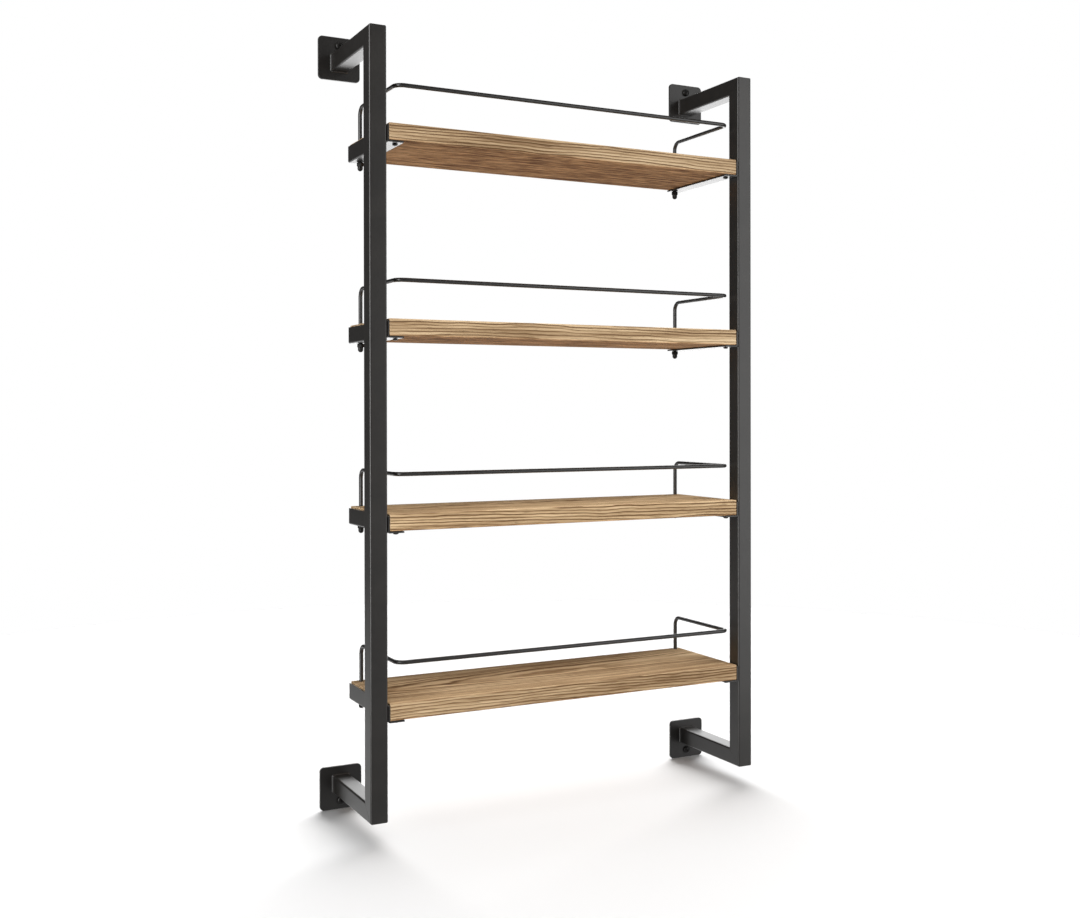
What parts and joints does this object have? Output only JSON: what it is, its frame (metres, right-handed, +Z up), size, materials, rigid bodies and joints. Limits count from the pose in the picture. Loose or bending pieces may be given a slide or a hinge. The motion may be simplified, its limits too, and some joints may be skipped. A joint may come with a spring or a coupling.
{
  "type": "spice rack",
  "caption": "Wall-hung spice rack: black square-tube side frames hold wooden shelves with bent wire guard rails, screwed to the wall through corner plates.",
  "frame": {"origin": "on the wall plane, at the centre of the rack's back", "axes": "+Z up, +Y into the wall, and +X to the right of someone who faces the rack"},
  "size_m": [0.424, 0.1347, 0.717],
  "materials": {
    "frame_paint": "black satin powder coat",
    "rail_wire": "black satin paint on round wire",
    "fastener_black": "black coated steel, semi-gloss",
    "shelf_wood": "warm brown softwood with a satin oil, grain along the shelf"
  },
  "bodies": {
    "root": {"left_upright": "frame_paint", "left_top_arm": "frame_paint", "left_top_wall_plate": "frame_paint", "left_top_wall_screw": "fastener_black", "left_bottom_arm": "frame_paint", "left_bottom_wall_plate": "frame_paint", "left_bottom_wall_screw": "fastener_black", "right_upright": "frame_paint", "right_top_arm": "frame_paint", "right_top_wall_plate": "frame_paint", "right_top_wall_screw": "fastener_black", "right_bottom_arm": "frame_paint", "right_bottom_wall_plate": "frame_paint", "right_bottom_wall_screw": "fastener_black", "top_shelf_board": "shelf_wood", "top_shelf_guard_rail": "rail_wire", "top_shelf_left_bracket": "frame_paint", "top_shelf_left_cap_nut": "fastener_black", "top_shelf_left_screw": "fastener_black", "top_shelf_right_bracket": "frame_paint", "top_shelf_right_cap_nut": "fastener_black", "top_shelf_right_screw": "fastener_black", "upper_shelf_board": "shelf_wood", "upper_shelf_guard_rail": "rail_wire", "upper_shelf_left_bracket": "frame_paint", "upper_shelf_left_cap_nut": "fastener_black", "upper_shelf_left_screw": "fastener_black", "upper_shelf_right_bracket": "frame_paint", "upper_shelf_right_cap_nut": "fastener_black", "upper_shelf_right_screw": "fastener_black", "lower_shelf_board": "shelf_wood", "lower_shelf_guard_rail": "rail_wire", "lower_shelf_left_bracket": "frame_paint", "lower_shelf_left_cap_nut": "fastener_black", "lower_shelf_left_screw": "fastener_black", "lower_shelf_right_bracket": "frame_paint", "lower_shelf_right_cap_nut": "fastener_black", "lower_shelf_right_screw": "fastener_black", "bottom_shelf_board": "shelf_wood", "bottom_shelf_guard_rail": "rail_wire", "bottom_shelf_left_bracket": "frame_paint", "bottom_shelf_left_cap_nut": "fastener_black", "bottom_shelf_left_screw": "fastener_black", "bottom_shelf_right_bracket": "frame_paint", "bottom_shelf_right_cap_nut": "fastener_black", "bottom_shelf_right_screw": "fastener_black"}
  },
  "joints": []
}
